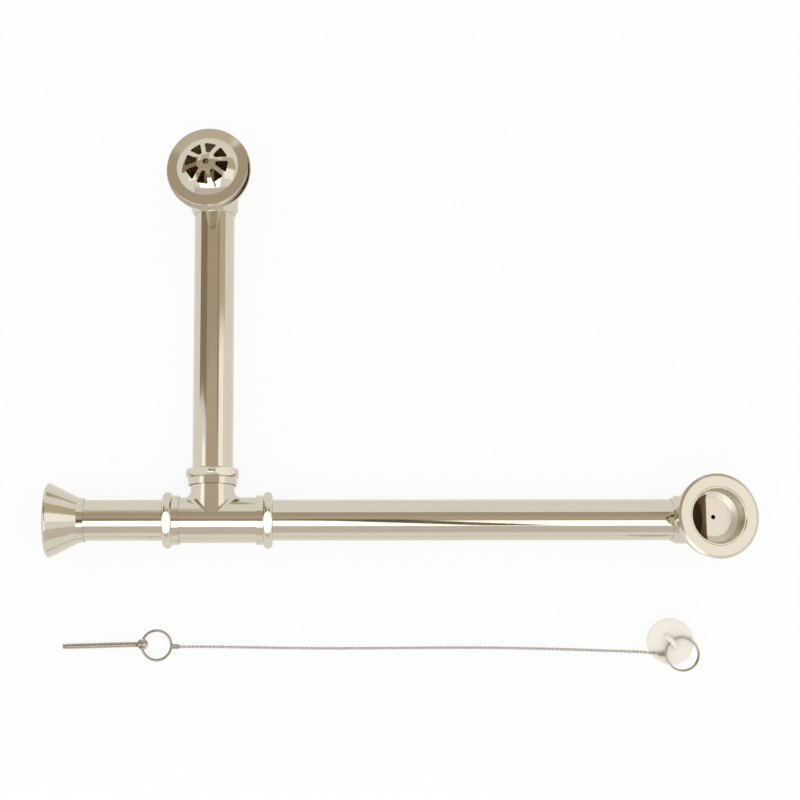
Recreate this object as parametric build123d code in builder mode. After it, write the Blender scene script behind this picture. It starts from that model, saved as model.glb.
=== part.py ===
from build123d import *
import os
from math import asin, atan2, cos, degrees, radians, sin, tan

os.makedirs("parts", exist_ok=True)

# All sizes are in millimetres and degrees.
# The pieces are made around the tee's centre, with the waste tube along +X, the overflow tube along +Y
# and both mouths facing +Z. At the end the whole assembly is laid down on a floor at Z = 0.

# Clearances
slip_gap = 0.3  # between pieces that turn or slide on each other
joint_gap = 0.1  # between pieces that are soldered or screwed together
rest_gap = 0.15  # between loose pieces that lie against each other

# Tubes
tube_od = 38.1
tube_wall = 1.2
tube_insert = 16.0  # how far each tube goes into the tee
tube_r = tube_od / 2
tube_bore_r = tube_r - tube_wall

# Tee: distances run from its centre to the three end faces
tail_face = 40.0
waste_face = 50.5
overflow_face = 41.9
run_wall = 2.15
branch_wall = 1.6
tee_fillet = 6.0
tee_stop = 20.5  # from the centre to the shoulder that stops a tube
thread_wall = 2.8
thread_length = 8.5
run_r = tube_r + run_wall
branch_r = tube_r + branch_wall
thread_r = tube_r + thread_wall

# Slip nut: a ring with six flats, and a plain skirt on the tee's side
nut_length = 15.4
nut_grip = 9.7  # how far the nut covers the tee
nut_skirt = 6.5
nut_skirt_wall = 1.15
nut_ring_r = 26.3
nut_flats = 48.6
nut_peak = 10.8  # from the skirt's edge to the widest place
nut_shoulder = 2.6
nut_end_wall = 1.2
nut_bore_r = thread_r + joint_gap
nut_skirt_r = nut_bore_r + nut_skirt_wall
slip_hole_r = tube_r + slip_gap
nut_turns = {"tail": 19.0, "waste": 41.0, "overflow": 31.5}

# Slip washer
washer_bevel = 1.0

# Overflow head: its frame has the mouth along +Z and the tube coming from -Y
overflow_height = 322.5  # from the tee's centre to the middle of the mouth
overflow_reach = 49.0  # from the tube's axis to the elbow's face
head_turn = -4.0  # how the head is turned about its tube
elbow_back_r = 23.2
elbow_wall = 3.0
elbow_flange_r = 39.2
elbow_flange = 4.0
elbow_lip = 2.5
elbow_mouth_r = 30.0
elbow_collar = 30.0  # from the mouth's axis to the end of the collar
elbow_collar_wall = 3.2
elbow_stop = 18.0
collar_taper = 5.0
collar_edge = 0.6
bar_width = 9.0
bar_height = 6.0
bar_level = 42.0
gasket = 3.0
overflow_gasket_r = 35.0
overflow_gasket_slip = 2.0  # how far the loose gasket lies off the middle

# Overflow plate: a flat rim around a dome with petal slots
plate_r = 37.6
plate_rim = 2.4
plate_rise = 0.8
plate_wall = 2.2
dome_r = 28.5
dome_height = 11.6
plate_lean = 4.0  # the loose plate rests on the gasket's upper edge
plate_side_lean = 0.8
petals = 8
petal_turn = -11.0
petal_inner = 9.0
petal_outer = 19.7
petal_inner_width = 3.2
petal_outer_width = 11.8
petal_fillet = 1.4

# Waste shoe: its frame has the drain mouth along +Z, and the pipe falls away from it towards -X
waste_length = 453.2  # from the tee's centre to the middle of the shoe
shoe_fall = 10.2
shoe_turn = 1.0  # how the shoe is turned about its tube
shoe_seam = 6.0  # where the seam of the shoe's round faces lies
shoe_back_r = 23.4
shoe_reach = 33.0  # from the tube's axis to the shoe's face
shoe_flange_r = 37.0
shoe_flange = 4.5
shoe_lip = 1.2
shoe_collar = 28.8
shoe_collar_wall = 3.2
shoe_stop = 22.0
shelf_r = 17.6
shelf_open_r = 22.0
shelf_open_low = 8.0  # how deep the open side goes down beside the pipe's bore
shelf_edge = -6.6
ledge_depth = 4.8  # from the shoe's face down to where the flange's tail stops
ledge_level = shoe_reach - ledge_depth
shelf_drop = 2.2  # from there down to the shelf
shelf_level = ledge_level - shelf_drop
shelf_hole_r = 2.1

# Waste flange
flange_r = 38.6
flange_rim = 3.0
flange_edge = 0.8
flange_bevel = 2.4
flange_step_r = 27.2
flange_step = 0.8
seat_r = 25.4
seat_depth = 7.6
throat_r = 23.2
tail_wall = 2.4
flange_tail_r = throat_r + tail_wall

# Outlet tube and the bell that covers its hole in the floor
bell_out = 153.6  # from the tee's centre to the bell's rim
bell_length = 35.4
bell_r = 34.8
bell_wall = 0.9
bell_lip = 3.2
bell_neck = 5.8
bell_neck_flare = 0.9
bell_gap = 0.4
tail_inset = 4.0  # how far the outlet tube ends inside the bell

# Plug: tapered rubber with a moulded arch, its place is on the floor
plug_spot = (423.5, -112.2)
plug_top_r = 21.5
plug_bottom_r = 19.5
plug_height = 13.0
plug_round = 1.2
arch_r = 6.6
arch_wire_r = 2.3
arch_turn = -49.0

# Rings and small links on the chain
split_ring_r = 15.1
split_wire_r = 0.7
split_step = 1.26  # between the ring's two turns of wire, which are pressed together
screw_ring_r = 13.7
ring_wire_r = 1.2
link_r = 2.6
link_wire_r = 0.5
link_lean = 20.0
ring_turn = -4.5

# Eye screw: a ball head with a cross hole
screw_spot = (-66.6, -113.8)
screw_turn = 1.5
screw_r = 2.5
screw_length = 70.0
screw_ball_r = 5.4
screw_eye_r = 2.5
screw_point = 1.0

# Chain, as a plain round cord
chain_r = 1.3
chain_bend = 0.45  # share of the shorter run that each bend takes up


def slip_nut(label):
    with BuildPart() as nut:
        with BuildSketch(Plane.XZ):
            with BuildLine():
                skirt = Line((nut_skirt_r, 0), (nut_skirt_r, nut_skirt))
                crown_end = (slip_hole_r + nut_end_wall, nut_length)
                crown = ThreePointArc(skirt @ 1, (nut_ring_r, nut_peak), crown_end)
                Polyline(
                    crown @ 1,
                    (slip_hole_r, nut_length),
                    (slip_hole_r, nut_length - nut_shoulder),
                    (nut_bore_r, nut_length - nut_shoulder),
                    (nut_bore_r, 0),
                    (nut_skirt_r, 0),
                )
            make_face()
        revolve(axis=Axis.Z)
        with BuildSketch():
            RegularPolygon(nut_flats / 2, 6, major_radius=False)
        extrude(amount=nut_length, mode=Mode.INTERSECT)
    nut.part.label = label
    return nut


def slip_washer(label):
    room = nut_length - nut_shoulder - nut_grip
    with BuildPart() as washer:
        with BuildSketch():
            Circle(nut_bore_r - slip_gap)
            Circle(slip_hole_r, mode=Mode.SUBTRACT)
        extrude(amount=room - 2 * slip_gap)
        low_edges = washer.faces().sort_by(Axis.Z)[0].edges().sort_by(SortBy.LENGTH)
        chamfer(low_edges[0], washer_bevel)
    washer.part.label = label
    return washer


def tube(label, start, end):
    with BuildPart() as pipe:
        with BuildSketch(Plane.XY.offset(start)):
            Circle(tube_r)
            Circle(tube_bore_r, mode=Mode.SUBTRACT)
        extrude(amount=end - start)
    pipe.part.label = label
    return pipe


def flat_ring(label, inner_r, outer_r, level):
    with BuildPart() as ring:
        with BuildSketch(Plane.XY.offset(level)):
            Circle(outer_r)
            Circle(inner_r, mode=Mode.SUBTRACT)
        extrude(amount=gasket)
    ring.part.label = label
    return ring


def collar_profile(length, wall):
    socket_r = tube_r + joint_gap
    straight = length - collar_taper
    Polygon(
        (0, 0), (socket_r + wall, 0), (socket_r + wall, straight), (socket_r + collar_edge, length), (0, length),
        align=None,
    )


def round_link(label, ring_r, wire_r):
    with BuildPart() as link:
        Torus(ring_r, wire_r)
    link.part.label = label
    return link


# Places of the three tubes on the tee, each with +Z along its tube
tail_axis = Location((0, 0, 0), (0, -90, 0))
waste_axis = Location((0, 0, 0), (0, 90, 0))
overflow_axis = Location((0, 0, 0), (-90, 0, 0))

# Tee
run_start = Plane.YZ.offset(-tail_face)
with BuildPart() as tee:
    with BuildSketch(run_start):
        Circle(run_r)
    extrude(amount=tail_face + waste_face)
    with BuildSketch(Plane.ZX):
        Circle(branch_r)
    extrude(amount=overflow_face)
    fillet(tee.edges().filter_by(GeomType.BSPLINE), tee_fillet)
    for end_plane in (
        Plane.YZ.offset(-tail_face),
        Plane.YZ.offset(waste_face - thread_length),
        Plane.ZX.offset(overflow_face - thread_length),
    ):
        with BuildSketch(end_plane):
            Circle(thread_r)
        extrude(amount=thread_length)
    for face_distance, open_plane in (
        (tail_face, Plane.YZ.offset(-tail_face)),
        (waste_face, Plane.YZ.offset(tee_stop)),
        (overflow_face, Plane.ZX.offset(tee_stop)),
    ):
        with BuildSketch(open_plane):
            Circle(slip_hole_r)
        extrude(amount=face_distance - tee_stop, mode=Mode.SUBTRACT)
    with BuildSketch(run_start):
        Circle(tube_bore_r)
    extrude(amount=tail_face + waste_face, mode=Mode.SUBTRACT)
    with BuildSketch(Plane.ZX):
        Circle(tube_bore_r)
    extrude(amount=overflow_face, mode=Mode.SUBTRACT)
tee.part.label = "tee"

# Slip nuts and the rubber washers inside them
tail_slip_nut = slip_nut("tail_slip_nut")
waste_slip_nut = slip_nut("waste_slip_nut")
overflow_slip_nut = slip_nut("overflow_slip_nut")
tail_slip_washer = slip_washer("tail_slip_washer")
waste_slip_washer = slip_washer("waste_slip_washer")
overflow_slip_washer = slip_washer("overflow_slip_washer")

# Tubes
tailpiece = tube("tailpiece", tail_face - tube_insert, bell_out - tail_inset)
waste_tube = tube("waste_tube", waste_face - tube_insert, waste_length - shoe_stop - joint_gap)
overflow_tube = tube("overflow_tube", overflow_face - tube_insert, overflow_height - elbow_stop - joint_gap)

# Overflow elbow: a round back that flares out to the mouth, with a collar for the tube
elbow_flange_low = overflow_reach - elbow_flange
with BuildPart() as overflow_elbow:
    with BuildSketch(Plane.XZ):
        with BuildLine():
            CenterArc((0, 0), elbow_back_r, -90, 90)
            flare_end = (elbow_flange_r - elbow_lip, elbow_flange_low)
            flare = TangentArc((elbow_back_r, 0), flare_end, tangent=(0, 1))
            Polyline(
                flare @ 1,
                (elbow_flange_r, elbow_flange_low),
                (elbow_flange_r, overflow_reach),
                (0, overflow_reach),
                (0, -elbow_back_r),
            )
        make_face()
    revolve(axis=Axis.Z)
    with BuildSketch(Plane.XY.rotated((180, 0, 0))):
        collar_profile(elbow_collar, elbow_collar_wall)
    revolve(axis=Axis.Y)
    with BuildSketch(Plane.XZ):
        with BuildLine():
            hollow_r = elbow_back_r - elbow_wall
            CenterArc((0, 0), hollow_r, -90, 90)
            inside = TangentArc((hollow_r, 0), (elbow_mouth_r, overflow_reach), tangent=(0, 1))
            Polyline(inside @ 1, (0, overflow_reach), (0, -hollow_r))
        make_face()
    revolve(axis=Axis.Z, mode=Mode.SUBTRACT)
    with BuildSketch(Plane.ZX.offset(-elbow_collar)):
        Circle(tube_r + joint_gap)
    extrude(amount=elbow_collar - elbow_stop, mode=Mode.SUBTRACT)
    with BuildSketch(Plane.ZX.offset(-elbow_stop)):
        Circle(tube_bore_r)
    extrude(amount=elbow_stop, mode=Mode.SUBTRACT)
    with Locations((0, 0, bar_level)):
        Box(bar_width, 2 * elbow_mouth_r, bar_height)
    with Locations((0, 0, bar_level)):
        Cylinder(screw_r, bar_height, mode=Mode.SUBTRACT)
overflow_elbow.part.label = "overflow_elbow"

overflow_gasket = flat_ring("overflow_gasket", elbow_mouth_r, overflow_gasket_r, overflow_reach)

# Overflow plate
plate_back = overflow_reach + gasket
dome_base = plate_back + plate_rim + plate_rise
with BuildPart() as overflow_plate:
    with BuildSketch(Plane.XZ):
        with BuildLine():
            dome = TangentArc((0, dome_base + dome_height), (dome_r, dome_base), tangent=(1, 0))
            Polyline(
                dome @ 1,
                (plate_r, plate_back + plate_rim),
                (plate_r, plate_back),
                (dome_r - plate_wall, plate_back),
            )
            under_top = (0, dome_base + dome_height - plate_wall)
            under = TangentArc(under_top, (dome_r - plate_wall, plate_back), tangent=(1, 0))
            Line(under @ 0, dome @ 0)
        make_face()
    revolve(axis=Axis.Z)
    with BuildSketch(Plane.XY.offset(plate_back)) as petal_slots:
        with PolarLocations(0, petals, start_angle=petal_turn):
            with Locations(((petal_inner + petal_outer) / 2, 0)):
                Trapezoid(
                    petal_outer_width,
                    petal_outer - petal_inner,
                    degrees(atan2(2 * (petal_outer - petal_inner), petal_outer_width - petal_inner_width)),
                    rotation=90,
                )
        fillet(petal_slots.vertices(), petal_fillet)
    extrude(amount=2 * dome_height + plate_rim, mode=Mode.SUBTRACT)
    with BuildSketch(Plane.XY.offset(plate_back)):
        Circle(screw_r + slip_gap)
    extrude(amount=2 * dome_height + plate_rim, mode=Mode.SUBTRACT)
overflow_plate.part.label = "overflow_plate"

# Waste shoe: a round back that flares out to the drain mouth, with an inner shelf
fall_x = cos(radians(shoe_fall))
fall_z = sin(radians(shoe_fall))
shoe_pipe = Plane((0, 0, 0), x_dir=(0, 1, 0), z_dir=(-fall_x, 0, -fall_z))
shoe_side = Plane((0, 0, 0), x_dir=(0, 1, 0), z_dir=(-fall_z, 0, fall_x))
seam_x = cos(radians(shoe_seam))
seam_y = sin(radians(shoe_seam))
shoe_profile = Plane((0, 0, 0), x_dir=(seam_x, seam_y, 0), z_dir=(seam_y, -seam_x, 0))
shoe_flange_low = shoe_reach - shoe_flange
with BuildPart() as waste_shoe:
    with BuildSketch(shoe_profile):
        with BuildLine():
            CenterArc((0, 0), shoe_back_r, -90, 90)
            flare_end = (shoe_flange_r - shoe_lip, shoe_flange_low)
            flare = TangentArc((shoe_back_r, 0), flare_end, tangent=(0, 1))
            Polyline(
                flare @ 1,
                (shoe_flange_r, shoe_flange_low),
                (shoe_flange_r, shoe_reach),
                (0, shoe_reach),
                (0, -shoe_back_r),
            )
        make_face()
    revolve(axis=Axis.Z)
    with BuildSketch(shoe_side):
        collar_profile(shoe_collar, shoe_collar_wall)
    revolve(axis=Axis((0, 0, 0), shoe_pipe.z_dir))
    with BuildSketch(shoe_pipe.offset(shoe_stop)):
        Circle(tube_r + joint_gap)
    extrude(amount=shoe_collar - shoe_stop, mode=Mode.SUBTRACT)
    with BuildSketch(shoe_pipe):
        Circle(tube_bore_r)
    extrude(amount=shoe_stop, mode=Mode.SUBTRACT)
    Sphere(tube_bore_r, mode=Mode.SUBTRACT)
    with BuildSketch(Plane.XY.offset(ledge_level).rotated((0, 0, shoe_seam))):
        Circle(flange_tail_r + joint_gap)
    extrude(amount=shoe_reach - ledge_level, mode=Mode.SUBTRACT)
    with BuildSketch(shoe_profile):
        Polygon(
            (0, shelf_level), (shelf_r, shelf_level), (throat_r, ledge_level), (0, ledge_level), align=None
        )
    revolve(axis=Axis.Z, mode=Mode.SUBTRACT)
    with BuildSketch(Plane.XY.offset(shelf_open_low)):
        Circle(shelf_open_r)
        with Locations((shelf_edge, 0)):
            Rectangle(2 * shelf_open_r, 2 * shelf_open_r, align=(Align.MIN, Align.CENTER), mode=Mode.SUBTRACT)
    extrude(amount=ledge_level - shelf_open_low, mode=Mode.SUBTRACT)
    with BuildSketch():
        Circle(shelf_hole_r)
    extrude(amount=shelf_level, mode=Mode.SUBTRACT)
waste_shoe.part.label = "waste_shoe"

waste_gasket = flat_ring("waste_gasket", flange_tail_r + slip_gap, shoe_flange_r - joint_gap, shoe_reach)

# Waste flange: a flat ring with a stepped inner edge, a seat for the plug and a threaded tail
flange_back = shoe_reach + gasket
flange_face = flange_back + flange_rim
with BuildPart() as waste_flange:
    with BuildSketch(Plane.XZ):
        with BuildLine():
            Polyline(
                (flange_r, flange_back),
                (flange_r, flange_face - flange_edge),
                (flange_r - flange_bevel, flange_face),
                (flange_step_r, flange_face),
                (flange_step_r - flange_step, flange_face - flange_step),
                (seat_r, flange_face - flange_step),
                (throat_r, flange_face - seat_depth),
                (throat_r, ledge_level + joint_gap),
                (flange_tail_r, ledge_level + joint_gap),
                (flange_tail_r, flange_back),
                close=True,
            )
        make_face()
    revolve(axis=Axis.Z)
waste_flange.part.label = "waste_flange"

# Bell: thin spun metal with a rolled rim and a short neck
bell_neck_r = tube_r + bell_gap + bell_wall
bell_crease = bell_length - bell_neck
with BuildPart() as floor_bell:
    with BuildSketch(Plane.XZ):
        with BuildLine():
            roll = TangentArc((bell_r, bell_lip), (bell_r - bell_lip, 0), tangent=(0, -1))
            inner_roll = TangentArc(
                (bell_r - bell_wall, bell_lip), (bell_r - bell_lip, bell_wall), tangent=(0, -1)
            )
            Line(roll @ 1, inner_roll @ 1)
            Polyline(
                roll @ 0,
                (bell_neck_r + bell_neck_flare, bell_crease),
                (bell_neck_r, bell_length),
                (bell_neck_r - bell_wall, bell_length),
                (bell_neck_r + bell_neck_flare - bell_wall, bell_crease),
                inner_roll @ 0,
            )
        make_face()
    revolve(axis=Axis.Z)
floor_bell.part.label = "floor_bell"

# Plug
with BuildPart() as plug:
    with BuildSketch(Plane.XZ):
        Polygon(
            (0, 0), (plug_bottom_r, 0), (plug_top_r, plug_height), (0, plug_height), align=None
        )
    revolve(axis=Axis.Z)
    fillet(plug.edges().filter_by(GeomType.CIRCLE), plug_round)
    with Locations((0, 0, plug_height)):
        Torus(arch_r, arch_wire_r, rotation=(90, arch_turn, 0))
    split(bisect_by=Plane.XY, keep=Keep.TOP)
plug.part.label = "plug"

# Split ring through the plug's arch: two turns of wire side by side
with BuildPart() as plug_ring:
    with Locations((0, 0, split_step / 2), (0, 0, -split_step / 2)):
        Torus(split_ring_r, split_wire_r)
plug_ring.part.label = "plug_ring"

plug_chain_link = round_link("plug_chain_link", link_r, link_wire_r)
screw_chain_link = round_link("screw_chain_link", link_r, link_wire_r)
screw_ring = round_link("screw_ring", screw_ring_r, ring_wire_r)

# Eye screw, along -X from its ball
with BuildPart() as eye_screw:
    Sphere(screw_ball_r)
    with BuildSketch(Plane.YZ):
        Circle(screw_r)
    extrude(amount=-(screw_ball_r + screw_length))
    chamfer(eye_screw.edges().sort_by(Axis.X)[0], screw_point)
    Cylinder(screw_eye_r, 2 * screw_ball_r, rotation=(90, 0, 0), mode=Mode.SUBTRACT)
eye_screw.part.label = "eye_screw"

# Where the loose pieces lie on the floor
screw_tilt = degrees(asin((screw_ball_r - screw_r) / (screw_ball_r + screw_length)))
screw_place = Location((*screw_spot, screw_ball_r), (0, -screw_tilt, screw_turn))
link_low = link_r * cos(radians(link_lean)) + link_wire_r
ring_low = 2 * link_wire_r + ring_wire_r + 3 * rest_gap
ring_tilt = degrees(asin((screw_ball_r - ring_low) / (2 * screw_ring_r)))
ring_line = Location((*screw_spot, 0), (0, 0, ring_turn))
screw_ring_x = screw_ring_r - (screw_eye_r - ring_wire_r) / 2
screw_ring_place = ring_line * Location((screw_ring_x, 0, (screw_ball_r + ring_low) / 2), (0, ring_tilt, 0))
screw_link_x = screw_ring_x + screw_ring_r + (link_r - link_wire_r - ring_wire_r) / 2
screw_link_place = ring_line * Location((screw_link_x, 0, link_low), (90 - link_lean, 0, 0))

plug_place = Location((*plug_spot, 0))
ring_direction = (cos(radians(arch_turn)), sin(radians(arch_turn)))
split_ring_x = plug_spot[0] + ring_direction[0] * split_ring_r
split_ring_y = plug_spot[1] + ring_direction[1] * split_ring_r
split_half = split_step / 2 + split_wire_r
split_low = plug_height + split_half + rest_gap
split_high = plug_height + link_low
split_tilt = degrees(asin((split_high - split_low) / (2 * split_ring_r)))
split_place = Location((split_ring_x, split_ring_y, (split_low + split_high) / 2), (0, split_tilt, 0))
plug_link_x = split_ring_x - split_ring_r - (link_r - link_wire_r - split_wire_r) / 2
plug_link_place = Location((plug_link_x, split_ring_y, plug_height + link_low), (90 - link_lean, 0, 0))

# Chain route, from the link at the screw's ring to the link at the plug's ring
chain_floor = chain_r + joint_gap / 2
link_end = link_r + link_wire_r + rest_gap
chain_start = (ring_line * Location((screw_link_x + link_end, 0, link_low))).position
chain_end_x = plug_link_x - link_end
chain_top = plug_height + chain_r + slip_gap + joint_gap
chain_points = [
    tuple(chain_start),
    (-12.0, -116.1, chain_floor),
    (19.1, -116.6, chain_floor),
    (64.0, -117.5, chain_floor),
    (109.7, -118.0, chain_floor),
    (154.5, -117.8, chain_floor),
    (190.8, -117.6, chain_floor),
    (238.3, -117.4, chain_floor),
    (281.1, -117.9, chain_floor),
    (323.8, -119.0, chain_floor),
    (361.0, -120.3, chain_floor),
    (388.0, -121.2, chain_floor),
    (399.4, -121.8, chain_top),
    (chain_end_x, split_ring_y, plug_height + link_low),
]
chain_vectors = [Vector(*point) for point in chain_points]
chain_runs = [b - a for a, b in zip(chain_vectors, chain_vectors[1:])]
chain_radii = [
    chain_bend * min(a.length, b.length) / tan(radians(a.get_angle(b) / 2))
    for a, b in zip(chain_runs, chain_runs[1:])
]
with BuildPart() as chain:
    with BuildLine() as chain_line:
        FilletPolyline(*chain_points, radius=chain_radii)
    with BuildSketch(Plane(chain_points[0], z_dir=chain_runs[0])):
        Circle(chain_r)
    sweep(path=chain_line.wires()[0])
chain.part.label = "chain"

# Places in the assembly, before it is laid down
nut_shift = Location((0, 0, -nut_grip))
washer_shift = Location((0, 0, slip_gap))
head_place = Location((0, overflow_height, 0), (0, head_turn, 0))
plate_hinge = Location((0, overflow_gasket_r, plate_back + joint_gap / 2), (-plate_lean, -plate_side_lean, 0))
plate_place = head_place * plate_hinge * Location((0, -overflow_gasket_r, -plate_back))
shoe_place = Location((waste_length, 0, 0), (shoe_turn, 0, 0)) * Location((0, 0, 0), (0, shoe_fall, 0))
bell_place = Location((-bell_out, 0, 0), (0, 90, 0))


def on_tee(axis, face, shift, turn=0.0):
    return axis * Location((0, 0, face)) * shift * Location((0, 0, 0), (0, 0, turn))


assembly = [
    (tee, Location()),
    (tail_slip_nut, on_tee(tail_axis, tail_face, nut_shift, nut_turns["tail"])),
    (waste_slip_nut, on_tee(waste_axis, waste_face, nut_shift, nut_turns["waste"])),
    (overflow_slip_nut, on_tee(overflow_axis, overflow_face, nut_shift, nut_turns["overflow"])),
    (tail_slip_washer, on_tee(tail_axis, tail_face, washer_shift)),
    (waste_slip_washer, on_tee(waste_axis, waste_face, washer_shift)),
    (overflow_slip_washer, on_tee(overflow_axis, overflow_face, washer_shift)),
    (tailpiece, tail_axis),
    (waste_tube, waste_axis),
    (overflow_tube, overflow_axis),
    (overflow_elbow, head_place),
    (overflow_gasket, head_place * Location((overflow_gasket_slip, 0, 0))),
    (overflow_plate, plate_place),
    (waste_shoe, shoe_place),
    (waste_gasket, shoe_place),
    (waste_flange, shoe_place),
    (floor_bell, bell_place),
]
loose = [
    (plug, plug_place),
    (plug_ring, split_place),
    (plug_chain_link, plug_link_place),
    (chain, Location()),
    (screw_chain_link, screw_link_place),
    (screw_ring, screw_ring_place),
    (eye_screw, screw_place),
]
for piece, place in assembly + loose:
    piece.part.move(place)


# The assembly lies on the bell's rim, the shoe's back and the elbow's back
def lowest(piece, turn):
    return piece.part.moved(turn).bounding_box().min.Z


lean_x = 0.0
lean_y = 0.0
for _ in range(4):
    lean = Location((0, 0, 0), (lean_x, lean_y, 0))
    bell_low = lowest(floor_bell, lean)
    lean_y += degrees(asin((lowest(waste_shoe, lean) - bell_low) / (waste_length + bell_out)))
    lean = Location((0, 0, 0), (lean_x, lean_y, 0))
    lean_x += degrees(asin((lowest(floor_bell, lean) - lowest(overflow_elbow, lean)) / overflow_height))
lean = Location((0, 0, 0), (lean_x, lean_y, 0))
box = Compound([piece.part.moved(lean) for piece, place in assembly]).bounding_box()
lay = Location((-box.center().X, -box.center().Y, -box.min.Z)) * lean
floor = Location((-box.center().X, -box.center().Y, 0))

for piece, place in assembly:
    piece.part.move(lay)
    export_step(piece.part, f"parts/{piece.part.label}.step")
for piece, place in loose:
    piece.part.move(floor)
    export_step(piece.part, f"parts/{piece.part.label}.step")

print("laid down by", lean_x, lean_y, "box", box.size)
print("chain length", chain_line.wires()[0].length, "volume", chain.part.volume)
print("chain radii", [round(radius, 1) for radius in chain_radii])
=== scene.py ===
import bpy
from math import cos, pi, radians, sin
from mathutils import Matrix, Vector


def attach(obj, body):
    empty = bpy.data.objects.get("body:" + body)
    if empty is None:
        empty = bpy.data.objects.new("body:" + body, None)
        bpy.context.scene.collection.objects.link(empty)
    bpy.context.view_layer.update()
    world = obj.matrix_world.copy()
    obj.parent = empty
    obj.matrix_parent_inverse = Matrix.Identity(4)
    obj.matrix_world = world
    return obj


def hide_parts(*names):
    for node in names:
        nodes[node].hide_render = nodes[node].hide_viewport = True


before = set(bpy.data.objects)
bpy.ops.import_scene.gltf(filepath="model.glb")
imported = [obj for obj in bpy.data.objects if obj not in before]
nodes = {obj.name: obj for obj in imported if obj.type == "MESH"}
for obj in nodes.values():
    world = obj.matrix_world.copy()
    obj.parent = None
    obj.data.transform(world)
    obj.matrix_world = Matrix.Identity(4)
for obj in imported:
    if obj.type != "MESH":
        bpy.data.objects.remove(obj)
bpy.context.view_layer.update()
scene = bpy.context.scene
print("frame loaded with", len(nodes), "nodes")


def clearSelection():
    bpy.ops.object.select_all(action="DESELECT")
    bpy.context.view_layer.objects.active = None


def selectOnly(piece):
    clearSelection()
    piece.select_set(True)
    bpy.context.view_layer.objects.active = piece


def deselectMesh():
    bpy.ops.object.mode_set(mode="EDIT")
    bpy.ops.mesh.select_all(action="DESELECT")
    bpy.ops.object.mode_set(mode="OBJECT")


def addObject(name, data):
    piece = bpy.data.objects.new(name, data)
    scene.collection.objects.link(piece)
    return piece


def curveThrough(name, kind, spots):
    curve = bpy.data.curves.new(name, "CURVE")
    curve.dimensions = "3D"
    spline = curve.splines.new(kind)
    spline.points.add(len(spots) - 1)
    for point, spot in zip(spline.points, spots):
        point.co = (*spot, 1)
    return curve


def applyModifier(piece, kind, **values):
    selectOnly(piece)
    modifier = piece.modifiers.new(kind.lower(), kind)
    for name, value in values.items():
        setattr(modifier, name, value)
    bpy.ops.object.modifier_apply(modifier=modifier.name)


def joinPieces(pieces, name):
    clearSelection()
    for piece in pieces:
        piece.select_set(True)
    bpy.context.view_layer.objects.active = pieces[0]
    bpy.ops.object.join()
    pieces[0].name = name
    pieces[0].data.name = name
    return pieces[0]


def putInPlace(piece, place):
    # the place goes into the mesh, the object stays at the origin
    piece.data.transform(place)
    piece.matrix_world = Matrix.Identity(4)


def placeOf(spotMm, turns):
    # same order of turns as in the part's source
    turn = Matrix.Identity(4)
    for angle, axis in zip(turns, "XYZ"):
        turn = turn @ Matrix.Rotation(radians(angle), 4, axis)
    return Matrix.Translation(Vector(spotMm) / 1000) @ turn


clearSelection()

# camera at the photo's view
photoCamera = {
    "place": (-0.06328, -0.28045, 1.48273),
    "turn": (7.9394, 1.0906, -0.0936),
    "sensor": 36,
    "lens": 70.6,
    "shift": (0.12484, 0.03742),
}
bpy.ops.object.camera_add(
    location=photoCamera["place"], rotation=[radians(angle) for angle in photoCamera["turn"]]
)
camera = bpy.context.object
camera.name = "photoCamera"
camera.data.sensor_width = photoCamera["sensor"]
camera.data.lens = photoCamera["lens"]
camera.data.shift_x, camera.data.shift_y = photoCamera["shift"]
scene.camera = camera
print("camera set")

# chain: its route, then one link copied along it
plugChain = {
    "route": [
        (-0.2084, -0.2784, 0.0029),
        (-0.1841, -0.2783, 0.00135),
        (-0.1530, -0.2788, 0.00135),
        (-0.1081, -0.2797, 0.00135),
        (-0.0624, -0.2802, 0.00135),
        (-0.0176, -0.2800, 0.00135),
        (0.0187, -0.2798, 0.00135),
        (0.0662, -0.2796, 0.00135),
        (0.1090, -0.2801, 0.00135),
        (0.1517, -0.2812, 0.00135),
        (0.1889, -0.2825, 0.00135),
        (0.2159, -0.2834, 0.00135),
        (0.2273, -0.2840, 0.0147),
        (0.2422, -0.2858, 0.0159),
    ],
    "routeOrder": 3,
    "routeSteps": 16,
    "length": 0.4553,
    "pitch": 0.001973,
    "wireR": 0.00045,
    "width": 0.0028,
    "linkLength": 0.0038,
    "leans": (8, 98),  # each link is turned a quarter from the one before it
    "ringSteps": 12,
    "wireSteps": 4,
}
routeCurve = curveThrough("chainRoute", "NURBS", plugChain["route"])
routeCurve.resolution_u = plugChain["routeSteps"]
routeCurve.splines[0].order_u = plugChain["routeOrder"]
routeCurve.splines[0].use_endpoint_u = True
routeObject = addObject("chainRoute", routeCurve)
bpy.context.view_layer.update()
routeMesh = bpy.data.meshes.new_from_object(routeObject)
routePoints = [vertex.co.copy() for vertex in routeMesh.vertices]
bpy.data.objects.remove(routeObject)
bpy.data.meshes.remove(routeMesh)
routeLength = sum((b - a).length for a, b in zip(routePoints, routePoints[1:]))
print("chain route", len(routePoints), "points", round(routeLength, 4), "m")


def spotOnRoute(distance):
    for a, b in zip(routePoints, routePoints[1:]):
        step = (b - a).length
        if distance <= step:
            return a.lerp(b, distance / step), (b - a).normalized()
        distance -= step
    return routePoints[-1], (routePoints[-1] - routePoints[-2]).normalized()


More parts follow.
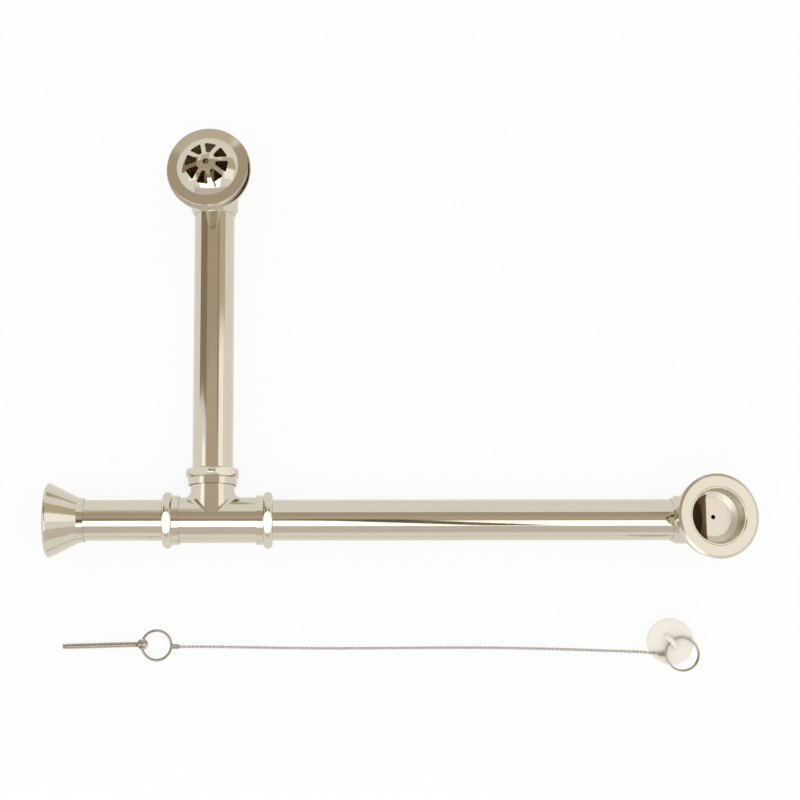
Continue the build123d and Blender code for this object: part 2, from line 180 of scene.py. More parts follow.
def wireLink(length, look):
    # a torus with its two halves moved apart, long way along X
    stretch = (length - look["width"]) / 2
    bpy.ops.mesh.primitive_torus_add(
        major_radius=look["width"] / 2 - look["wireR"], minor_radius=look["wireR"],
        major_segments=look["ringSteps"], minor_segments=look["wireSteps"],
    )
    link = bpy.context.object
    deselectMesh()
    for vertex in link.data.vertices:
        vertex.select = vertex.co.x > 0
    bpy.ops.object.mode_set(mode="EDIT")
    bpy.ops.transform.translate(value=(2 * stretch, 0, 0))
    bpy.ops.mesh.select_all(action="SELECT")
    bpy.ops.transform.translate(value=(-stretch, 0, 0))
    bpy.ops.object.mode_set(mode="OBJECT")
    bpy.ops.object.shade_smooth()
    return link


firstLink = wireLink(plugChain["linkLength"], plugChain)
linkCount = int(routeLength / plugChain["pitch"])
chainLinks = []
for index in range(linkCount):
    spot, heading = spotOnRoute((index + 0.5) * routeLength / linkCount)
    side = Vector((0, 0, 1)).cross(heading).normalized()
    rise = heading.cross(side)
    turn = Matrix((heading, side, rise)).transposed().to_4x4()
    turn = turn @ Matrix.Rotation(radians(plugChain["leans"][index % 2]), 4, "X")
    link = addObject("chainLink", firstLink.data.copy())
    putInPlace(link, Matrix.Translation(spot) @ turn)
    chainLinks.append(link)
bpy.data.objects.remove(firstLink)
linkChain = joinPieces(chainLinks, "linkChain")
print("chain of", linkCount, "links", len(linkChain.data.polygons), "faces")

# end links: thicker wire, one at each end of the chain
endLinks = {
    "screwEndLink": {
        "place": ((-208.3, -278.2, 3.1), (28, 0, -1.5)), "node": "screw_chain_link",
        "length": 0.0086, "width": 0.005, "wireR": 0.0011, "ringSteps": 32, "wireSteps": 10,
    },
    "plugEndLink": {
        "place": ((242.6, -285.75, 15.95), (28, 0, 2)), "node": "plug_chain_link",
        "length": 0.008, "width": 0.0044, "wireR": 0.0009, "ringSteps": 32, "wireSteps": 10,
    },
}
endPieces = {}
for name, values in endLinks.items():
    clearSelection()
    link = wireLink(values["length"], values)
    link.name = name
    link.data.name = name
    putInPlace(link, placeOf(*values["place"]))
    endPieces[name] = link
print("end links", len(endPieces))

# eye screw: a drilled ball for a head, and a shank with a real thread
eyeScrew = {
    "place": ((-238.738, -276.002, 5.4), (0, -2.20423, 1.5)),
    "ballR": 0.0054,
    "ballSteps": (40, 24),
    "eyeR": 0.0025,
    "eyeSteps": 32,
    "neck": 0.8,  # where the shank starts, as a share of the ball's radius
    "coreR": 0.0022,
    "threadR": 0.00285,
    "pitch": 0.0017,
    "ridgeFoot": 0.46,  # half widths of the ridge, as shares of the pitch
    "ridgeTop": 0.12,
    "ridgeSunk": 0.0001,  # how far its foot goes into the core
    "start": 0.0058,
    "end": 0.0754,
    "tip": 0.0009,
    "tipSteps": 2,
    "steps": 20,
    "smoothAngle": 35,
}
screwPlace = placeOf(*eyeScrew["place"])
bpy.ops.mesh.primitive_uv_sphere_add(
    segments=eyeScrew["ballSteps"][0], ring_count=eyeScrew["ballSteps"][1], radius=eyeScrew["ballR"]
)
screwBall = bpy.context.object
bpy.ops.mesh.primitive_cylinder_add(
    vertices=eyeScrew["eyeSteps"], radius=eyeScrew["eyeR"], depth=3 * eyeScrew["ballR"],
    rotation=(pi / 2, 0, 0),
)
eyeCutter = bpy.context.object
applyModifier(screwBall, "BOOLEAN", operation="DIFFERENCE", object=eyeCutter, solver="EXACT")
bpy.data.objects.remove(eyeCutter)
shankFrom = eyeScrew["neck"] * eyeScrew["ballR"]
shankLength = eyeScrew["end"] - shankFrom
bpy.ops.mesh.primitive_cylinder_add(
    vertices=eyeScrew["steps"], radius=eyeScrew["coreR"], depth=shankLength,
    location=(-(shankFrom + shankLength / 2), 0, 0), rotation=(0, pi / 2, 0),
)
screwCore = bpy.context.object
bpy.ops.object.transform_apply(location=True, rotation=True, scale=True)
deselectMesh()
tipLevel = -eyeScrew["end"] + 1e-5  # a hair before the end face
for edge in screwCore.data.edges:
    edge.select = all(screwCore.data.vertices[i].co.x < tipLevel for i in edge.vertices)
bpy.ops.object.mode_set(mode="EDIT")
bpy.ops.mesh.bevel(offset=eyeScrew["tip"], segments=eyeScrew["tipSteps"], affect="EDGES")
bpy.ops.object.mode_set(mode="OBJECT")
turnsOfThread = int((eyeScrew["end"] - eyeScrew["start"] - 2 * eyeScrew["tip"]) / eyeScrew["pitch"])
ridgeHalf = eyeScrew["ridgeFoot"] * eyeScrew["pitch"]
ridgeTop = eyeScrew["ridgeTop"] * eyeScrew["pitch"]
ridgeRoot = eyeScrew["coreR"] - eyeScrew["ridgeSunk"]
ridgeMesh = bpy.data.meshes.new("threadRidge")
ridgeMesh.from_pydata(
    [
        (-eyeScrew["start"] + ridgeHalf, 0, ridgeRoot),
        (-eyeScrew["start"] + ridgeTop, 0, eyeScrew["threadR"]),
        (-eyeScrew["start"] - ridgeTop, 0, eyeScrew["threadR"]),
        (-eyeScrew["start"] - ridgeHalf, 0, ridgeRoot),
    ],
    [(0, 1), (1, 2), (2, 3), (3, 0)], [],
)
threadRidge = addObject("threadRidge", ridgeMesh)
applyModifier(
    threadRidge, "SCREW", axis="X", angle=2 * pi, screw_offset=-eyeScrew["pitch"], iterations=turnsOfThread,
    steps=eyeScrew["steps"], render_steps=eyeScrew["steps"], use_merge_vertices=True, merge_threshold=1e-6,
)
bpy.ops.object.mode_set(mode="EDIT")
bpy.ops.mesh.select_all(action="SELECT")
bpy.ops.mesh.fill_holes(sides=6)  # the ridge's two ends
bpy.ops.mesh.normals_make_consistent(inside=False)
bpy.ops.object.mode_set(mode="OBJECT")
threadedEyeScrew = joinPieces([screwBall, screwCore, threadRidge], "threadedEyeScrew")
selectOnly(threadedEyeScrew)
bpy.ops.object.shade_smooth_by_angle(angle=radians(eyeScrew["smoothAngle"]))
putInPlace(threadedEyeScrew, screwPlace)
print("eye screw", turnsOfThread, "turns of thread", len(threadedEyeScrew.data.polygons), "faces")

# split ring: two turns of wire side by side, with one crossing
splitRing = {
    "place": ((261.268, -285.798, 15.2116), (0, 2.77709, 0)),
    "ringR": 0.0151,
    "wireR": 0.0007,
    "wireSteps": 3,
    "turns": 1.97,
    "halfStep": 0.00063,
    "spread": 0.0004,
    "crossing": 0.12,
    "from": 0.62,
    "steps": 144,
}


def ringSpot(index):
    turned = splitRing["turns"] * index / splitRing["steps"]
    rise = min(1, max(0, (turned - 1) / splitRing["crossing"] + 0.5))
    side = 2 * rise * rise * (3 - 2 * rise) - 1  # eased from -1 on the first turn to 1 on the second
    angle = 2 * pi * (turned + splitRing["from"])
    turnR = splitRing["ringR"] + splitRing["spread"] * side
    return turnR * cos(angle), turnR * sin(angle), splitRing["halfStep"] * side


ringSpots = [ringSpot(index) for index in range(splitRing["steps"] + 1)]
ringCurve = curveThrough("splitRing", "POLY", ringSpots)
ringCurve.bevel_depth = splitRing["wireR"]
ringCurve.bevel_resolution = splitRing["wireSteps"]
ringCurve.use_fill_caps = True
selectOnly(addObject("splitRing", ringCurve))
bpy.ops.object.convert(target="MESH")
plugSplitRing = bpy.context.object
plugSplitRing.name = "plugSplitRing"
bpy.ops.object.shade_smooth()
putInPlace(plugSplitRing, placeOf(*splitRing["place"]))
print("split ring", len(plugSplitRing.data.polygons), "faces")


# nodes of materials and shared effects
def feed(tree, node, inputs):
    # another node's socket is linked, a plain value is set
    for socket, value in inputs.items():
        if hasattr(value, "is_linked"):
            tree.links.new(value, node.inputs[socket])
        else:
            node.inputs[socket].default_value = value


def addNode(tree, kind, inputs, **values):
    node = tree.nodes.new(kind)
    for name, value in values.items():
        setattr(node, name, value)
    feed(tree, node, inputs)
    return node


def mathNode(tree, operation, first, second=0.0, third=0.0):
    node = addNode(tree, "ShaderNodeMath", {0: first, 1: second, 2: third}, operation=operation)
    return node.outputs[0]


def lengthOf(tree, vector):
    return addNode(tree, "ShaderNodeVectorMath", {0: vector}, operation="LENGTH").outputs["Value"]


def noiseShare(tree, vector, scale, detail, roughness=0.5):
    inputs = {"Vector": vector, "Scale": scale, "Detail": detail, "Roughness": roughness}
    return addNode(tree, "ShaderNodeTexNoise", inputs).outputs["Fac"]


def rangeShare(tree, value, low, high):
    inputs = {"Value": value, "From Min": low, "From Max": high}
    return addNode(tree, "ShaderNodeMapRange", inputs).outputs[0]


def mixColour(tree, share, first, second):
    # a Mix node's colours are its inputs 6 and 7 and its output 2
    inputs = {"Factor": share, 6: first, 7: second}
    return addNode(tree, "ShaderNodeMix", inputs, data_type="RGBA").outputs[2]


def bumpNode(tree, strength, depth, height):
    return addNode(tree, "ShaderNodeBump", {"Strength": strength, "Distance": depth, "Height": height})


def sideShare(tree, local, side):
    # from 0 to 1 across a piece, towards an angle about its own Z axis
    along = mathNode(tree, "MULTIPLY", local.outputs["X"], cos(side["turn"]))
    across = mathNode(tree, "MULTIPLY_ADD", local.outputs["Y"], sin(side["turn"]), along)
    return rangeShare(tree, across, side["from"], side["to"])


def newGroup(name, inputs, outputs):
    group = bpy.data.node_groups.new(name, "ShaderNodeTree")
    for socket, kind, value in inputs:
        made = group.interface.new_socket(name=socket, in_out="INPUT", socket_type=kind)
        if value is not None:
            made.default_value = value
    for socket, kind in outputs:
        group.interface.new_socket(name=socket, in_out="OUTPUT", socket_type=kind)
    entry = group.nodes.new("NodeGroupInput")
    leave = group.nodes.new("NodeGroupOutput")
    return group, entry.outputs, leave


# polish: soft clouds of haze, fine rubbing lines and a slow wave in the surface
polishLook = {
    "clouds": (38, 4),  # scale and detail of a noise, and its roughness where there is a third
    "lines": (600, 3, 0.6),
    "wave": (16, 1),
    "lineHeight": 0.03,
}
polish, polishIn, polishOut = newGroup(
    "polishMarks",
    [("Vector", "NodeSocketVector", None), ("Line Stretch", "NodeSocketVector", (1, 1, 1)),
     ("Haze", "NodeSocketFloat", 0.03), ("Base Roughness", "NodeSocketFloat", 0.06)],
    [("Roughness", "NodeSocketFloat"), ("Tone", "NodeSocketFloat"), ("Height", "NodeSocketFloat")],
)
stretched = addNode(
    polish, "ShaderNodeVectorMath", {0: polishIn["Vector"], 1: polishIn["Line Stretch"]}, operation="MULTIPLY"
)
clouds = noiseShare(polish, polishIn["Vector"], *polishLook["clouds"])
lines = noiseShare(polish, stretched.outputs[0], *polishLook["lines"])
wave = noiseShare(polish, polishIn["Vector"], *polishLook["wave"])
hazed = mathNode(polish, "MULTIPLY_ADD", clouds, polishIn["Haze"], polishIn["Base Roughness"])
feed(polish, polishOut, {
    "Roughness": mathNode(polish, "MULTIPLY_ADD", lines, polishIn["Haze"], hazed),
    "Tone": clouds,
    "Height": mathNode(polish, "MULTIPLY_ADD", lines, polishLook["lineHeight"], wave),
})

# raw inside: 1 on faces under the top that are nearer to the piece's own Z axis than the radius, which
# grows upwards by the square of the height, and below the origin nearer to the origin itself
rawInside, rawIn, rawOut = newGroup(
    "rawInside",
    [("Vector", "NodeSocketVector", None), ("Radius", "NodeSocketFloat", 0.018),
     ("Growth", "NodeSocketFloat", 0.0), ("Top", "NodeSocketFloat", 10.0)],  # 10 m up is as good as no top
    [("Mask", "NodeSocketFloat")],
)
local = addNode(rawInside, "ShaderNodeSeparateXYZ", {0: rawIn["Vector"]})
below = mathNode(rawInside, "MINIMUM", local.outputs["Z"], 0.0)
above = mathNode(rawInside, "MAXIMUM", local.outputs["Z"], 0.0)
flat = addNode(
    rawInside, "ShaderNodeCombineXYZ", {"X": local.outputs["X"], "Y": local.outputs["Y"], "Z": below}
)
squared = mathNode(rawInside, "MULTIPLY", above, above)
limit = mathNode(rawInside, "MULTIPLY_ADD", squared, rawIn["Growth"], rawIn["Radius"])
inner = mathNode(rawInside, "LESS_THAN", lengthOf(rawInside, flat.outputs[0]), limit)
under = mathNode(rawInside, "LESS_THAN", local.outputs["Z"], rawIn["Top"])
feed(rawInside, rawOut, {"Mask": mathNode(rawInside, "MULTIPLY", inner, under)})
print("shared effects made")


def newMaterial(name):
    material = bpy.data.materials.new(name)
    material.use_nodes = True
    tree = material.node_tree
    tree.nodes.clear()
    shader = tree.nodes.new("ShaderNodeBsdfPrincipled")
    addNode(tree, "ShaderNodeOutputMaterial", {"Surface": shader.outputs[0]})
    return material, tree, shader


def setFinish(piece, material):
    piece.data.materials.clear()
    piece.data.materials.append(material)


def objectCoordinates(tree):
    return tree.nodes.new("ShaderNodeTexCoord").outputs["Object"]


def placedCoordinates(tree, place):
    mapping = addNode(
        tree, "ShaderNodeMapping",
        {"Vector": objectCoordinates(tree), "Location": place.translation, "Rotation": place.to_euler("XYZ")},
        vector_type="TEXTURE",
    )
    return mapping.outputs[0]


def insideMask(tree, vector, sizes):
    return addNode(tree, "ShaderNodeGroup", {"Vector": vector, **sizes}, node_tree=rawInside).outputs["Mask"]


def layOver(tree, surface, mask, colour, roughness=None, metal=None):
    # where the mask is 1 the layer's colour shows, its roughness is added and its share of metal counts
    surface["Base Color"] = mixColour(tree, mask, surface["Base Color"], colour)
    if roughness is not None:
        surface["Roughness"] = mathNode(tree, "MULTIPLY_ADD", mask, roughness, surface["Roughness"])
    if metal is not None:
        surface["Metallic"] = mathNode(tree, "MULTIPLY_ADD", mask, metal - 1, surface["Metallic"])


# polished nickel, with layers for rough castings, raw bores, painted shade in a hole and a paler, duller
# patch of painted light where shade falls
nickelLook = {
    "pale": (0.665, 0.618, 0.508, 1),
    "deep": (0.615, 0.568, 0.458, 1),
    "bump": 0.012,
    "bumpDepth": 0.004,
    "cast": (0.83, 0.785, 0.685, 1),
    "castDeep": (0.64, 0.585, 0.49, 1),
    "castRoughness": 0.27,
    "castBump": 0.7,
    "castDepth": 0.0002,
    "sand": (700, 3, 0.7),
    "raw": (0.68, 0.49, 0.25, 1),
    "rawDeep": (0.37, 0.26, 0.125, 1),
    "rawRoughness": 0.42,
    "rawMetal": 0.25,
    # near black: painted shade inside a hole
    "hole": (0.02, 0.016, 0.011, 1),
    # share of metal in the patch of painted light
    "lightPatchMetal": 0.1,
}


def nickelMaterial(
    name, place, stretch=(1, 1, 1), haze=0.03, roughness=0.045, cast=None, inside=None, hole=None, paintedLightPatch=None
):
    material, tree, shader = newMaterial(name)
    vector = placedCoordinates(tree, place)
    marks = addNode(
        tree, "ShaderNodeGroup",
        {"Vector": vector, "Line Stretch": stretch, "Haze": haze, "Base Roughness": roughness},
        node_tree=polish,
    )
    bump = bumpNode(tree, nickelLook["bump"], nickelLook["bumpDepth"], marks.outputs["Height"])
    surface = {
        "Base Color": mixColour(tree, marks.outputs["Tone"], nickelLook["deep"], nickelLook["pale"]),
        "Roughness": marks.outputs["Roughness"],
        "Metallic": 1.0,
    }
    if cast:
        mask = insideMask(tree, vector, cast)
        sand = noiseShare(tree, vector, *nickelLook["sand"])
        castTone = mixColour(tree, sand, nickelLook["castDeep"], nickelLook["cast"])
        layOver(tree, surface, mask, castTone, nickelLook["castRoughness"])
        strength = mathNode(tree, "MULTIPLY", mask, nickelLook["castBump"])
        grain = bumpNode(tree, strength, nickelLook["castDepth"], sand)
        feed(tree, bump, {"Normal": grain.outputs[0]})
    if inside:
        mask = insideMask(tree, vector, inside)
        rawTone = mixColour(tree, marks.outputs["Tone"], nickelLook["rawDeep"], nickelLook["raw"])
        layOver(tree, surface, mask, rawTone, nickelLook["rawRoughness"], nickelLook["rawMetal"])
    # painted shade: near black on the faces inside the hole
    if hole:
        layOver(tree, surface, insideMask(tree, vector, hole), nickelLook["hole"])
    if paintedLightPatch:
        # painted light: a paler, duller patch on one side of a face, above a level, towards a direction, in
        # place of the shade there
        local = addNode(tree, "ShaderNodeSeparateXYZ", {0: vector})
        face = mathNode(tree, "GREATER_THAN", local.outputs["Z"], paintedLightPatch["level"])
        patch = mathNode(tree, "MULTIPLY", sideShare(tree, local, paintedLightPatch), face)
        layOver(tree, surface, patch, paintedLightPatch["colour"], nickelLook["rawRoughness"], nickelLook["lightPatchMetal"])
    feed(tree, shader, {**surface, "Normal": bump.outputs[0]})
    return material


# where the CAD pieces stand: the tee with its tubes, the overflow head and the drain shoe
teePlace = placeOf((-172.138, -162.202, 31.9548), (-1.55558, 1.082, 0))
headPlace = placeOf((-172.138, 160.179, 23.2), (-1.55558, -2.918, 0))
shoePlace = placeOf((280.981, -162.435, 23.4), (-0.55199, 11.2818, -0.019254))
tailAxis = teePlace @ Matrix.Rotation(-pi / 2, 4, "Y")
wasteAxis = teePlace @ Matrix.Rotation(pi / 2, 4, "Y")
overflowAxis = teePlace @ Matrix.Rotation(-pi / 2, 4, "X")

# rubbing lines run along a tube and round a nut, each in the piece's own frame
alongTube = (1, 1, 0.02)
roundTurned = (0.4, 0.4, 1)
tubeInside = {"Radius": 0.0185}
flangeLightPatch = {  # painted light: paler and duller on the elbow's face, under the plate's edge, in place of the shade there
    "turn": radians(-120), "level": 0.0485, "from": 0.012, "to": 0.026, "colour": (0.62, 0.55, 0.44, 1),
}
nickelPieces = {
    "tee": (teePlace, {"stretch": (0.05, 1, 1)}),
    "tail_slip_nut": (tailAxis, {"stretch": roundTurned}),
    "waste_slip_nut": (wasteAxis, {"stretch": roundTurned}),
    "overflow_slip_nut": (overflowAxis, {"stretch": roundTurned}),
    "tailpiece": (tailAxis, {"stretch": alongTube, "inside": tubeInside}),
    "waste_tube": (wasteAxis, {"stretch": alongTube, "inside": tubeInside}),
    "overflow_tube": (overflowAxis, {"stretch": alongTube, "inside": tubeInside}),
    "floor_bell": (tailAxis, {"stretch": (1, 1, 0.05), "haze": 0.05, "roughness": 0.05}),
    # the elbow has a patch of painted light under the plate's edge
    "overflow_elbow": (headPlace, {"inside": {"Radius": 0.0217, "Growth": 5.2}, "paintedLightPatch": flangeLightPatch}),
    "overflow_plate": (headPlace, {"haze": 0.035}),
    # the shoe's screw hole is painted with shade
    "waste_shoe": (shoePlace, {"cast": {"Radius": 0.0233}, "inside": {"Radius": 0.0226, "Top": 0.0255},
                               "hole": {"Radius": 0.0025, "Top": 0.0258}}),
    "waste_flange": (shoePlace, {"haze": 0.08, "roughness": 0.12, "cast": {"Radius": 0.0238}}),
}
for name, (place, look) in nickelPieces.items():
    setFinish(nodes[name], nickelMaterial("polishedNickel." + name, place, **look))
print("nickel on", len(nickelPieces), "pieces")

# chain, rings and eye screw: plated wire, each with its own tone and tarnish; the eye screw also has painted
# shade in its thread and painted dark reflections on its ball
wireMarks = {
    "tarnish": (220, 3),
    "ballReflectionSpots": (0.4, 0.6),  # between painted dark reflections and the pale ball
    "threadShadeMargin": 0.0001,  # the painted shade is kept off the core and the crest
}
wireLooks = {
    "chainWire": {
        "pale": (0.66, 0.615, 0.54, 1), "deep": (0.48, 0.44, 0.375, 1), "roughness": 0.11, "haze": 0.08,
    },
    "splitWire": {
        "pale": (0.62, 0.575, 0.50, 1), "deep": (0.42, 0.385, 0.325, 1), "roughness": 0.11, "haze": 0.08,
    },
    "ringWire": {
        "pale": (0.50, 0.455, 0.375, 1), "deep": (0.27, 0.24, 0.19, 1), "roughness": 0.1, "haze": 0.06,
    },
    "screwWire": {
        "pale": (0.8, 0.75, 0.66, 1), "deep": (0.6, 0.55, 0.47, 1), "roughness": 0.11, "haze": 0.08,
        # painted shade in the thread's valleys, and painted dark reflections in spots on the ball
        "threadShade": (0.42, 0.375, 0.31, 1), "ball": (0.68, 0.63, 0.54, 1), "ballDarkReflection": (0.26, 0.23, 0.18, 1),
    },
}


def wireMaterial(name, look):
    material, tree, shader = newMaterial(name)
    vector = placedCoordinates(tree, screwPlace)
    marks = addNode(
        tree, "ShaderNodeGroup",
        {"Vector": vector, "Haze": look["haze"], "Base Roughness": look["roughness"]}, node_tree=polish,
    )
    tarnish = noiseShare(tree, vector, *wireMarks["tarnish"])
    colour = mixColour(tree, tarnish, look["deep"], look["pale"])
    if "threadShade" in look:
        # painted shade in the thread: darker near the core, and painted dark reflections in spots on the ball
        local = addNode(tree, "ShaderNodeSeparateXYZ", {0: vector})
        across = addNode(tree, "ShaderNodeCombineXYZ", {"Y": local.outputs["Y"], "Z": local.outputs["Z"]})
        crest = rangeShare(
            tree, lengthOf(tree, across.outputs[0]),
            eyeScrew["coreR"] + wireMarks["threadShadeMargin"], eyeScrew["threadR"] - wireMarks["threadShadeMargin"],
        )
        shank = mixColour(tree, crest, look["threadShade"], colour)
        spots = rangeShare(tree, tarnish, *wireMarks["ballReflectionSpots"])
        ball = mixColour(tree, spots, look["ballDarkReflection"], look["ball"])
        onBall = mathNode(tree, "GREATER_THAN", local.outputs["X"], -eyeScrew["start"])
        colour = mixColour(tree, onBall, shank, ball)
    feed(tree, shader, {"Base Color": colour, "Roughness": marks.outputs["Roughness"], "Metallic": 1.0})
    return material


wireFinish = {name: wireMaterial(name, look) for name, look in wireLooks.items()}
wirePieces = [
    (linkChain, "chainWire"), (plugSplitRing, "splitWire"), (nodes["plug_chain_link"], "splitWire"),
    (nodes["screw_chain_link"], "ringWire"), (nodes["screw_ring"], "ringWire"),
    (endPieces["screwEndLink"], "ringWire"), (endPieces["plugEndLink"], "ringWire"),
    (threadedEyeScrew, "screwWire"),
]
for piece, finish in wirePieces:
    setFinish(piece, wireFinish[finish])

# rubber: the white plug, the black seals and the gasket, which has painted shade on one side and painted
# light on the other
rubberMarks = {
    "clouds": (60, 4),
    "grainDetail": 2,
    "grainRoughness": 0.15,
    "bump": 0.12,
    "bumpDepth": 0.0003,
}
rubberLooks = {
    "whiteRubber": {
        "pale": (0.92, 0.885, 0.79, 1), "deep": (0.875, 0.84, 0.745, 1), "roughness": 0.42, "grain": 900,
        "nodes": ["plug"],
    },
    "blackRubber": {
        "pale": (0.05, 0.046, 0.038, 1), "deep": (0.022, 0.02, 0.017, 1), "roughness": 0.55, "grain": 1400,
        "nodes": ["waste_gasket", "overflow_slip_washer", "tail_slip_washer", "waste_slip_washer"],
    },
    # the overflow gasket: painted shade on one side, painted light on the other
    "paintedShadeGasketRubber": {
        "pale": (0.86, 0.79, 0.68, 1), "deep": (0.12, 0.1, 0.07, 1), "roughness": 0.5, "grain": 1400,
        "shadeSide": {"turn": radians(-125), "from": -0.004, "to": 0.018}, "nodes": ["overflow_gasket"],
    },
}


def rubberMaterial(name, look):
    material, tree, shader = newMaterial(name)
    vector = objectCoordinates(tree)
    if "shadeSide" in look:
        # painted shade and light: from dark to pale across the ring
        local = addNode(tree, "ShaderNodeSeparateXYZ", {0: placedCoordinates(tree, headPlace)})
        share = sideShare(tree, local, look["shadeSide"])
    else:
        share = noiseShare(tree, vector, *rubberMarks["clouds"])
    grain = noiseShare(tree, vector, look["grain"], rubberMarks["grainDetail"])
    bump = bumpNode(tree, rubberMarks["bump"], rubberMarks["bumpDepth"], grain)
    feed(tree, shader, {
        "Base Color": mixColour(tree, share, look["deep"], look["pale"]),
        "Roughness": mathNode(tree, "MULTIPLY_ADD", grain, rubberMarks["grainRoughness"], look["roughness"]),
        "Normal": bump.outputs[0],
    })
    return material


for name, look in rubberLooks.items():
    finish = rubberMaterial(name, look)
    for node in look["nodes"]:
        setFinish(nodes[node], finish)
print("rubber and wire done")

# stage: pale floor, soft boxes above, and dim screens that the metal mirrors
stageLook = {
    "floorSize": 12.0,
    "floorColour": (0.93, 0.925, 0.915, 1),
    "floorRoughness": 0.9,
    "paper": (300, 2),
    "paperTone": 1.01,
    "whiteShare": 0.88,
    "worldColour": (1, 0.99, 0.975, 1),
    "worldDiffuse": 0.84,
    "lampWatts": 4,  # for a square metre at a radiance of 1
}
white = (1, 1, 1, 1)


def seenRays(tree):
    path = tree.nodes.new("ShaderNodeLightPath")
    seen = mathNode(tree, "MAXIMUM", path.outputs["Is Camera Ray"], path.outputs["Is Glossy Ray"])
    return mathNode(tree, "MAXIMUM", seen, path.outputs["Is Transmission Ray"])


def mixShaders(tree, share, first, second):
    return addNode(
        tree, "ShaderNodeMixShader", {0: share, 1: first.outputs[0], 2: second.outputs[0]}
    ).outputs[0]


def floorMaterial(name):
    # camera and mirrors see mostly plain white, everything else a pale paper
    material, tree, shader = newMaterial(name)
    paper = noiseShare(tree, objectCoordinates(tree), *stageLook["paper"])
    paler = [min(1, stageLook["paperTone"] * value) for value in stageLook["floorColour"]]
    feed(tree, shader, {
        "Base Color": mixColour(tree, paper, stageLook["floorColour"], paler),
        "Roughness": stageLook["floorRoughness"],
        "Specular IOR Level": 0.0,
    })
    paperWhite = addNode(tree, "ShaderNodeEmission", {"Color": white, "Strength": 1.0})
    share = mathNode(tree, "MULTIPLY", seenRays(tree), stageLook["whiteShare"])
    feed(tree, tree.nodes["Material Output"], {"Surface": mixShaders(tree, share, shader, paperWhite)})
    return material


def glowMaterial(name, colour):
    material = bpy.data.materials.new(name)
    material.use_nodes = True
    tree = material.node_tree
    tree.nodes.clear()
    glow = addNode(tree, "ShaderNodeEmission", {"Color": colour, "Strength": 1.0})
    addNode(tree, "ShaderNodeOutputMaterial", {"Surface": glow.outputs[0]})
    return material


clearSelection()
bpy.ops.mesh.primitive_plane_add(size=stageLook["floorSize"], location=(0, 0, 0))
floor = bpy.context.object
floor.name = "paleFloor"
setFinish(floor, floorMaterial("paleFloor"))

softBoxes = {
    "frontBox": {
        "place": (-0.25, -1.34, 2.6), "aim": (-0.25, -1.34, 0), "size": (3.1, 1.6), "radiance": 0.85,
    },
    "leftBox": {
        "place": (-2.47, -0.1, 1.98), "aim": (-0.17, -0.1, 0.05), "size": (1.1, 0.95), "radiance": 0.4,
    },
    "rightBox": {
        "place": (2.11, 0.1, 2.0), "aim": (-0.17, 0.1, 0.05), "size": (1.3, 1.35), "radiance": 0.25,
    },
}
for name, box in softBoxes.items():
    bpy.ops.object.light_add(type="AREA", location=box["place"])
    lamp = bpy.context.object
    lamp.name = name
    lamp.data.shape = "RECTANGLE"
    lamp.data.size, lamp.data.size_y = box["size"]
    lamp.data.energy = stageLook["lampWatts"] * box["radiance"] * box["size"][0] * box["size"][1]
    heading = Vector(box["aim"]) - Vector(box["place"])
    lamp.rotation_euler = heading.to_track_quat("-Z", "Y").to_euler()
    lamp.visible_camera = False

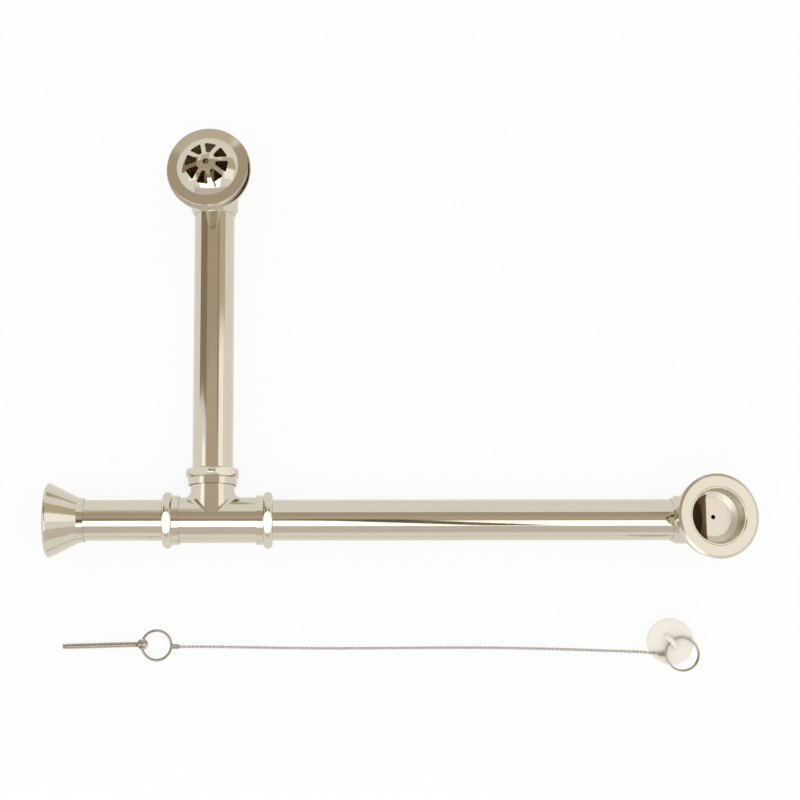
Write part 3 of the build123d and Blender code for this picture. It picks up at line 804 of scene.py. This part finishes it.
dimScreens = {
    "backScreen": {
        "corners": ((-1.95, 0.6, 2.5), (1.45, 0.6, 2.5), (1.45, 1.9, 2.5), (-1.95, 1.9, 2.5)),
        "colour": (0.53, 0.46, 0.37, 1),
    },
    "overScreen": {
        "corners": ((-1.95, -0.53, 2.5), (1.45, -0.53, 2.5), (1.45, 0.6, 2.5), (-1.95, 0.6, 2.5)),
        "colour": (0.6, 0.53, 0.44, 1),
    },
    "lowEdge": {
        "corners": ((-1.95, -0.53, 2.47), (0.02, -0.53, 2.47), (0.02, -0.15, 2.47), (-1.95, 0.24, 2.47)),
        "colour": (0.39, 0.35, 0.3, 1),
    },
    "sideEdge": {
        "corners": ((0.95, 0.45, 2.47), (1.45, 0.45, 2.47), (1.45, 1.9, 2.47), (0.95, 1.9, 2.47)),
        "colour": (0.41, 0.34, 0.25, 1),
    },
    "cornerScreen": {
        "corners": ((1.45, 0.78, 2.48), (2.75, 0.78, 1.1), (2.75, 2.6, 1.1), (1.45, 2.6, 2.48)),
        "colour": (0.66, 0.58, 0.46, 1),
    },
    "highScreen": {
        "corners": ((-1.5, 1.9, 2.5), (-0.35, 1.9, 2.5), (-0.35, 3.1, 2.5), (-1.5, 3.1, 2.5)),
        "colour": (0.72, 0.65, 0.56, 1),
    },
    "leftScreen": {
        "corners": ((-1.95, 0.52, 2.48), (-3.13, 0.52, 0.57), (-3.13, 2.6, 0.57), (-1.95, 2.6, 2.48)),
        "colour": (0.33, 0.27, 0.18, 1),
    },
    "frontScreen": {
        "corners": ((-3.2, -2.2, 2.55), (3.2, -2.2, 2.55), (3.2, -4.3, 0.84), (-3.2, -4.3, 0.84)),
        "colour": (0.75, 0.7, 0.67, 1),
    },
    "boomFlag": {
        "corners": ((-0.08, -0.2, 2.45), (0.2, -0.2, 2.45), (0.68, -1.9, 2.45), (0.47, -1.9, 2.45)),
        "colour": (0.14, 0.12, 0.085, 1), "shadow": True,
    },
}
for name, screen in dimScreens.items():
    screenMesh = bpy.data.meshes.new(name)
    screenMesh.from_pydata(screen["corners"], [], [(0, 1, 2, 3)])
    screenObject = addObject(name, screenMesh)
    setFinish(screenObject, glowMaterial(name, screen["colour"]))
    screenObject.visible_camera = False
    screenObject.visible_shadow = "shadow" in screen
    screenObject.visible_diffuse = False

world = bpy.data.worlds.new("softRoom")
scene.world = world
world.use_nodes = True
tree = world.node_tree
tree.nodes.clear()
softLight = addNode(
    tree, "ShaderNodeBackground", {"Color": stageLook["worldColour"], "Strength": stageLook["worldDiffuse"]}
)
whiteRoom = addNode(tree, "ShaderNodeBackground", {"Color": white, "Strength": 1.0})
addNode(tree, "ShaderNodeOutputWorld", {"Surface": mixShaders(tree, seenRays(tree), softLight, whiteRoom)})
scene.view_settings.view_transform = "Standard"
print("stage and lights set")

# what each new piece rides on and stands for
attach(linkChain, "tee_run")
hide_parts("chain")
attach(threadedEyeScrew, "tee_run")
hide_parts("eye_screw")
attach(plugSplitRing, "tee_run")
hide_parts("plug_ring")
for name, piece in endPieces.items():
    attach(piece, "tee_run")
    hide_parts(endLinks[name]["node"])
